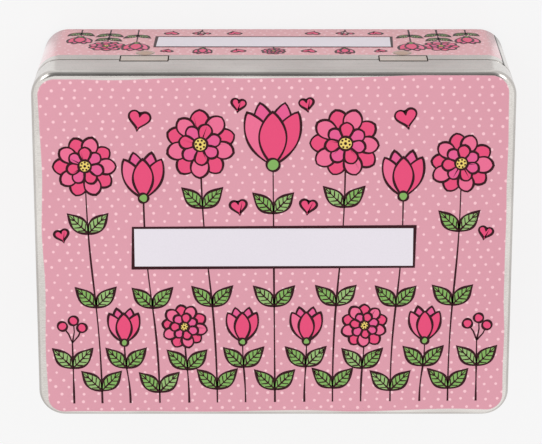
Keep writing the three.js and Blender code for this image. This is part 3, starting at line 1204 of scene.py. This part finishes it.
def make_band_group():
    """The printed band of the wall, with wavy edges, and what it leaves bare.

    The mask is 1 on the print. Clinch is 1 on the bare bosses of the hinges. The third output is painted
    shade: 1 in the groove of the side seam and weaker round the upper side of the bosses.
    """
    sheet, given = new_group("wall_print_field", Unrolled="Vector", Vector="Vector")
    way, height, _ = sheet.parts(given["Unrolled"])
    wave = sheet.less(sheet.noise(sheet.joined(way, 0.0), print_wave_scale, wave_detail), middle_share)
    wave = sheet.times(wave, wall_print_wave)
    top = sheet.below(sheet.math("ADD", height, wave), wall_print_high, 2 * print_blur)
    low = sheet.below(sheet.plus(height, (wave, low_wave_share)), wall_print_low, -print_blur)
    strip = sheet.below(way, girth - seam_strip_width, print_blur)
    near_groove = sheet.below(way, print_blur, -print_blur)
    x, y, z = sheet.parts(given["Vector"])
    beside = sheet.less(sheet.math("ABSOLUTE", x), hinge_places["right"])
    above = sheet.less(z, clinch_height_above_floor)
    distance = sheet.length(beside, above)
    off_clinch = sheet.below(distance, clinch_bare_radius, -print_blur)
    off_clinch = sheet.math("MAXIMUM", off_clinch, sheet.soft_step(y, 0.0, -print_blur))
    from_ring = sheet.math("ABSOLUTE", sheet.less(distance, clinch_bare_radius - clinch_ring_width))
    # Painted shade round the upper side of each boss.
    ring = sheet.times(
        sheet.soft_step(from_ring, clinch_ring_width, 0.0),
        sheet.soft_step(above, -clinch_ring_width, 2 * clinch_ring_width),
        sheet.soft_step(y, 0.0, print_blur),
        ring_shade_share,
    )
    # Painted shade in the groove of the side seam.
    from_groove = sheet.math("MINIMUM", way, sheet.less(girth, way))
    groove = sheet.soft_step(from_groove, groove_shade_reach, groove_shade_reach / 2)
    return finish_group(sheet, {
        "Mask": sheet.times(top, low, strip, near_groove, off_clinch),
        "Clinch": sheet.between(off_clinch, 1.0, 0.0),
        "Painted Shade": sheet.math("MAXIMUM", groove, ring),
    })


def make_ink_group():
    """Litho ink on tinplate: a little uneven in strength, with a fine tooth and a slight waviness."""
    sheet, given = new_group("litho_ink", Vector="Vector", Colour="Color")
    vector = given["Vector"]
    cloud = sheet.noise(vector, ink_cloud_scale)
    grain = sheet.noise(vector, ink_grain_scale)
    strength = sheet.plus(ink_strength, (grain, ink_grain_share), (cloud, ink_cloud_share))
    scaled = sheet.add("VectorMath", {0: given["Colour"], "Scale": strength}, operation="SCALE")
    return finish_group(sheet, {
        "Colour": scaled.outputs[0],
        "Roughness": sheet.plus(ink_roughness, (grain, grain_roughness)),
        "Height": sheet.plus(sheet.noise(vector, wave_scale, 0.0), (grain, grain_height_share)),
    })


class Finishes:
    """The materials of the tin, with the node groups that they share."""

    def __init__(self):
        self.tinplate = make_tinplate_group()
        self.dots = make_dots_group()
        self.lid_field = make_border_group()
        self.wall_field = make_band_group()
        self.ink = make_ink_group()

    def start(self, name):
        """Starts a material and gives it with its sheet and the place on the surface."""
        material = bpy.data.materials.new(name)
        sheet = blank_sheet(material)
        return material, sheet, sheet.add("TexCoord").outputs["Object"]

    def finish(self, sheet, height, inputs):
        """Gives a material its shader, which follows a height."""
        bump = sheet.add("Bump", {"Height": height, "Distance": bump_distance})
        shader = sheet.add("BsdfPrincipled", {"Normal": bump.outputs[0], **inputs})
        sheet.add("OutputMaterial", {"Surface": shader.outputs[0]})

    def with_gap_shade(self, sheet, colour):
        """A colour with painted shade: it darkens in narrow gaps, where less light reaches."""
        # Painted shade: ambient occlusion darkens the colour where other surfaces lie close.
        openness = sheet.add("AmbientOcclusion", {"Distance": gap_shade_reach}, samples=gap_shade_samples)
        unshaded = sheet.soft_step(openness.outputs["AO"], gap_shade_full_share, gap_shade_none_share)
        return sheet.mix(unshaded, painted_shade_colour, colour)

    def metal(self, name, light, dark, shade_height=None):
        """Bare sheet or wire. Above the shade height it lies under the lid and takes painted shade there.
        """
        material, sheet, vector = self.start(name)
        plate = sheet.group(self.tinplate, {"Vector": vector, "Light": light, "Dark": dark})
        # Painted shade in narrow gaps.
        colour = self.with_gap_shade(sheet, plate["Colour"])
        if shade_height:
            # Painted shade on the hinge loop where it goes under the lid.
            _, _, z = sheet.parts(vector)
            colour = sheet.mix(sheet.below(z, shade_height, shade_blur), painted_shade_colour, colour)
        self.finish(sheet, plate["Height"], {
            "Base Color": colour,
            "Metallic": 1.0,
            "Roughness": plate["Roughness"],
        })
        return material

    def printed(self, name, on_wall):
        """Tinplate with a printed field of dots on a pink ground, under a thin clear varnish.

        The wall grows glossier with the slant at which it is seen, so its corners shine like bare sheet.
        """
        material, sheet, vector = self.start(name)
        plate = sheet.group(self.tinplate, {"Vector": vector, "Light": metal_light, "Dark": metal_dark})
        # Painted shade in narrow gaps on the bare metal.
        bare = self.with_gap_shade(sheet, plate["Colour"])
        if on_wall:
            pattern = sheet.add("UVMap", uv_map="unrolled").outputs[0]
            wall = sheet.group(self.wall_field, {"Unrolled": pattern, "Vector": vector})
            field = wall["Mask"]
            bare = sheet.mix(wall["Clinch"], bare, clinch_metal)
            # Painted shade in the seam's groove and round the upper side of the bosses.
            bare = sheet.mix(wall["Painted Shade"], bare, painted_shade_colour)
            slant = sheet.add("LayerWeight").outputs["Facing"]
            matt = sheet.times(field, sheet.soft_step(slant, glare_full_share, glare_start_share))
        else:
            turned = {"Vector": vector, "Rotation": (0.0, 0.0, -math.radians(print_turn))}
            pattern = sheet.add("Mapping", turned).outputs[0]
            field = sheet.group(self.lid_field, {"Vector": pattern})[0]
            matt = field
        dots = sheet.group(self.dots, {"Vector": pattern})[0]
        ground = sheet.mix(dots, wall_pink if on_wall else lid_pink, dot_white)
        ink = sheet.group(self.ink, {"Vector": vector, "Colour": ground})
        self.finish(sheet, plate["Height"], {
            "Base Color": sheet.mix(field, bare, ink["Colour"]),
            "Metallic": sheet.between(matt, 1.0, 0.0),
            "Roughness": sheet.between(matt, plate["Roughness"], ink["Roughness"]),
            "Coat Weight": field,
            "Coat Roughness": coat_roughness,
            "Specular IOR Level": varnish_gloss_share,
        })
        return material

    def inks(self):
        """One material for each ink of the artwork."""
        materials = {}
        for name, colour in ink_colours.items():
            materials[name], sheet, vector = self.start(f"ink_{name}")
            ink = sheet.group(self.ink, {"Vector": vector, "Colour": colour})
            self.finish(sheet, ink["Height"], {
                "Base Color": ink["Colour"],
                "Roughness": ink["Roughness"],
                "Coat Weight": ink_gloss_share,
                "Coat Roughness": coat_roughness,
                "Specular IOR Level": ink_gloss_share,
            })
        return materials


# The stage: a plain floor, a pale studio round it and three soft lamps
backdrop = 0.98
floor_drop = 0.0002
floor_size = 8.0
floor_tone = 0.66
floor_seen_share = 0.86
floor_mirrored_share = 0.3
# A strip of floor beside the tin that glows only in reflections: a painted glow for the metal to mirror.
glow_strip_near, glow_strip_far, glow_strip_fade = 0.1005, 0.124, 0.002
glow_strip_share = 0.55
world_light = 0.8
studio_bright = 1.05
studio_grey = 0.36
studio_dark = 0.11
gap_start, gap_middle, gap_low, gap_end = -12.0, 6.0, 50.0, 58.0
gap_half_width, gap_fade = 0.62, 0.12
lamps = {
    "key": ((-0.45, 0.1, 1.7), (1.3, 1.0), 4.6, False),
    "left_strip": ((-0.8, 0.85, 0.37), (0.34, 0.5), 1.6, True),
    "right_strip": ((0.8, 0.85, 0.37), (0.34, 0.5), 1.6, True),
}


def background_rays(sheet):
    """1 for the rays of the camera, and 1 for those that a mirror or glass sends on."""
    path = sheet.add("LightPath").outputs
    return path["Is Camera Ray"], sheet.math("MAXIMUM", path["Is Glossy Ray"], path["Is Transmission Ray"])


def make_world():
    """A pale studio, with a darker gap over the hinge side that the rounded edges of the metal mirror."""
    world = bpy.data.worlds.new("studio")
    bpy.context.scene.world = world
    sheet = blank_sheet(world)
    camera_ray, mirrored_ray = background_rays(sheet)
    x, y, z = sheet.parts(sheet.add("TexCoord").outputs["Generated"])
    tilt = sheet.math("DEGREES", sheet.math("ARCTAN2", z, y))
    inside = sheet.below(sheet.math("ABSOLUTE", x), gap_half_width, gap_fade)
    inside = sheet.times(inside, sheet.math("LESS_THAN", tilt, gap_end))
    edge = sheet.times(inside, sheet.soft_step(tilt, gap_start, gap_middle))
    depth = sheet.times(inside, sheet.soft_step(tilt, gap_middle, gap_low))
    studio = sheet.between(edge, studio_bright, studio_grey)
    studio = sheet.between(depth, studio, studio_dark)
    light = sheet.between(mirrored_ray, world_light, studio)
    light = sheet.between(camera_ray, light, backdrop)
    background = sheet.add("Background", {"Color": sheet.joined(light, light, light)})
    sheet.add("OutputWorld", {"Surface": background.outputs[0]})


def make_floor():
    """A plain pale floor that keeps a soft shadow. Beside the tin a strip of it glows brighter for mirrored
    rays only: a painted glow that the metal reflects.
    """
    floor = start_from(bpy.ops.mesh.primitive_plane_add, size=floor_size, location=(0, 0, -floor_drop))
    floor.name = "floor"
    material = bpy.data.materials.new("floor_paper")
    sheet = blank_sheet(material)
    camera_ray, mirrored_ray = background_rays(sheet)
    paper = sheet.add("BsdfDiffuse", {"Color": (floor_tone, floor_tone, floor_tone, 1.0)}).outputs[0]
    glow = sheet.add("Emission", {"Color": (backdrop, backdrop, backdrop, 1.0)}).outputs[0]
    x, _, _ = sheet.parts(sheet.add("TexCoord").outputs["Object"])
    beside = sheet.math("ABSOLUTE", x)
    # Painted glow: the strip beside the tin is brighter in what mirrors see.
    glow_strip = sheet.below(beside, glow_strip_near, -glow_strip_fade)
    glow_strip = sheet.times(glow_strip, sheet.below(beside, glow_strip_far, glow_strip_fade))
    share = sheet.times(mirrored_ray, sheet.plus(floor_mirrored_share, (glow_strip, glow_strip_share)))
    share = sheet.plus(share, (camera_ray, floor_seen_share))
    surface = sheet.add("MixShader", {0: share, 1: paper, 2: glow}).outputs[0]
    sheet.add("OutputMaterial", {"Surface": surface})
    floor.data.materials.append(material)


def make_lamps():
    """Soft lamps that point at the tin. The key lamp stays out of what the metal mirrors."""
    aim = Vector((0, 0, lid_top / 2))
    for name, (place, size, power, is_mirrored) in lamps.items():
        turn = (aim - Vector(place)).to_track_quat("-Z", "Y").to_euler()
        bpy.ops.object.light_add(type="AREA", location=place, rotation=turn)
        lamp = bpy.context.object
        lamp.name = name
        lamp.data.shape = "RECTANGLE"
        lamp.data.size, lamp.data.size_y = size
        lamp.data.energy = power
        lamp.visible_glossy = is_mirrored


# The camera looks down on the lid, a little from the hinge side.
view_target = Vector((-0.00114, -0.00079, lid_top / 2))
view_distance = 1.15
view_tilt = 17.85
view_lens = 177.0
view_depth = 20


def make_camera():
    """The camera at the viewing angle of the photograph."""
    across, up = unit_vector(view_tilt)
    bpy.ops.object.camera_add(
        location=view_target + view_distance * Vector((0, up, across)),
        rotation=(-math.radians(view_tilt), 0, 0),
    )
    camera = bpy.context.object
    camera.data.lens = view_lens
    camera.data.clip_end = view_depth
    bpy.context.scene.camera = camera
    bpy.context.scene.view_settings.view_transform = "Standard"


make_camera()
make_world()
make_floor()
make_lamps()

finishes = Finishes()
inner_metal = finishes.metal("inner_tinplate", inner_metal_light, inner_metal_dark)
hinge_metal = finishes.metal("hinge_steel", hinge_metal_light, hinge_metal_dark, loop_shade_height)
make_lid([finishes.printed("printed_lid", on_wall=False), inner_metal])
make_wall([finishes.printed("printed_wall", on_wall=True), inner_metal])
make_base([inner_metal] * 2)
for side, x in hinge_places.items():
    make_leaf(side, x, [hinge_metal] * 2)
    make_pin(side, x, [hinge_metal] * 2)

inks = finishes.inks()
draw_lid_artwork(inks)
draw_long_wall("rear_artwork", 1, inks, seed=11)
draw_long_wall("front_artwork", -1, inks, seed=12)
draw_short_wall("right_artwork", 1, inks, seed=13)
draw_short_wall("left_artwork", -1, inks, seed=14)
